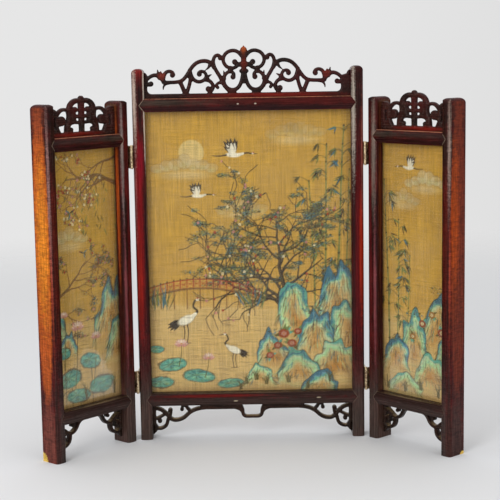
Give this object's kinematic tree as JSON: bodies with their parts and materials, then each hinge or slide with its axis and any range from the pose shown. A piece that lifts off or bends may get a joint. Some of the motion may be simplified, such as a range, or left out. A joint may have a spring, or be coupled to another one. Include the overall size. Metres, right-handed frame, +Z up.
{
  "type": "folding table screen",
  "caption": "Three-fold table screen with a wide centre panel, two lower hinged wings, pierced crests and aprons, and glazed painted silk pictures.",
  "frame": {"origin": "centre of the whole part's box at floor level, with the wings folded forward as in the picture", "axes": "+X to the right along the centre panel, +Y from the picture side to the back, +Z up"},
  "size_m": [0.4032, 0.0992, 0.391],
  "materials": {
    "lacquered_wood": "satin lacquered dark red-brown hardwood",
    "picture_glass": "clear flat glass",
    "painted_silk": "plain woven silk, painted and laid on card",
    "backing_board": "unpolished thin board",
    "iron_brads": "dull iron wire",
    "hinge_brass": "tarnished brass"
  },
  "bodies": {
    "centre_panel": {"centre_left_stile": "lacquered_wood", "centre_right_stile": "lacquered_wood", "centre_top_rail": "lacquered_wood", "centre_bottom_rail": "lacquered_wood", "centre_crest": "lacquered_wood", "centre_apron": "lacquered_wood", "centre_glass": "picture_glass", "centre_silk": "painted_silk", "centre_board": "backing_board", "centre_brads": "iron_brads", "left_upper_fixed_leaf": "hinge_brass", "left_upper_pin": "hinge_brass", "left_lower_fixed_leaf": "hinge_brass", "left_lower_pin": "hinge_brass", "right_upper_fixed_leaf": "hinge_brass", "right_upper_pin": "hinge_brass", "right_lower_fixed_leaf": "hinge_brass", "right_lower_pin": "hinge_brass", "centre_hinge_screws": "hinge_brass"},
    "left_wing": {"left_inner_stile": "lacquered_wood", "left_outer_stile": "lacquered_wood", "left_top_rail": "lacquered_wood", "left_bottom_rail": "lacquered_wood", "left_crest": "lacquered_wood", "left_apron": "lacquered_wood", "left_glass": "picture_glass", "left_silk": "painted_silk", "left_board": "backing_board", "left_brads": "iron_brads", "left_upper_wing_leaf": "hinge_brass", "left_lower_wing_leaf": "hinge_brass", "left_hinge_screws": "hinge_brass"},
    "right_wing": {"right_inner_stile": "lacquered_wood", "right_outer_stile": "lacquered_wood", "right_top_rail": "lacquered_wood", "right_bottom_rail": "lacquered_wood", "right_crest": "lacquered_wood", "right_apron": "lacquered_wood", "right_glass": "picture_glass", "right_silk": "painted_silk", "right_board": "backing_board", "right_brads": "iron_brads", "right_upper_wing_leaf": "hinge_brass", "right_lower_wing_leaf": "hinge_brass", "right_hinge_screws": "hinge_brass"}
  },
  "joints": [
    {"name": "left_fold", "type": "hinge", "parent": "centre_panel", "child": "left_wing", "pos_m": [-0.114, 0.02758, 0], "axis": [0, 0, 1], "range_deg": [-48, 132]},
    {"name": "right_fold", "type": "hinge", "parent": "centre_panel", "child": "right_wing", "pos_m": [0.114, 0.02758, 0], "axis": [0, 0, -1], "range_deg": [-48, 132]}
  ]
}
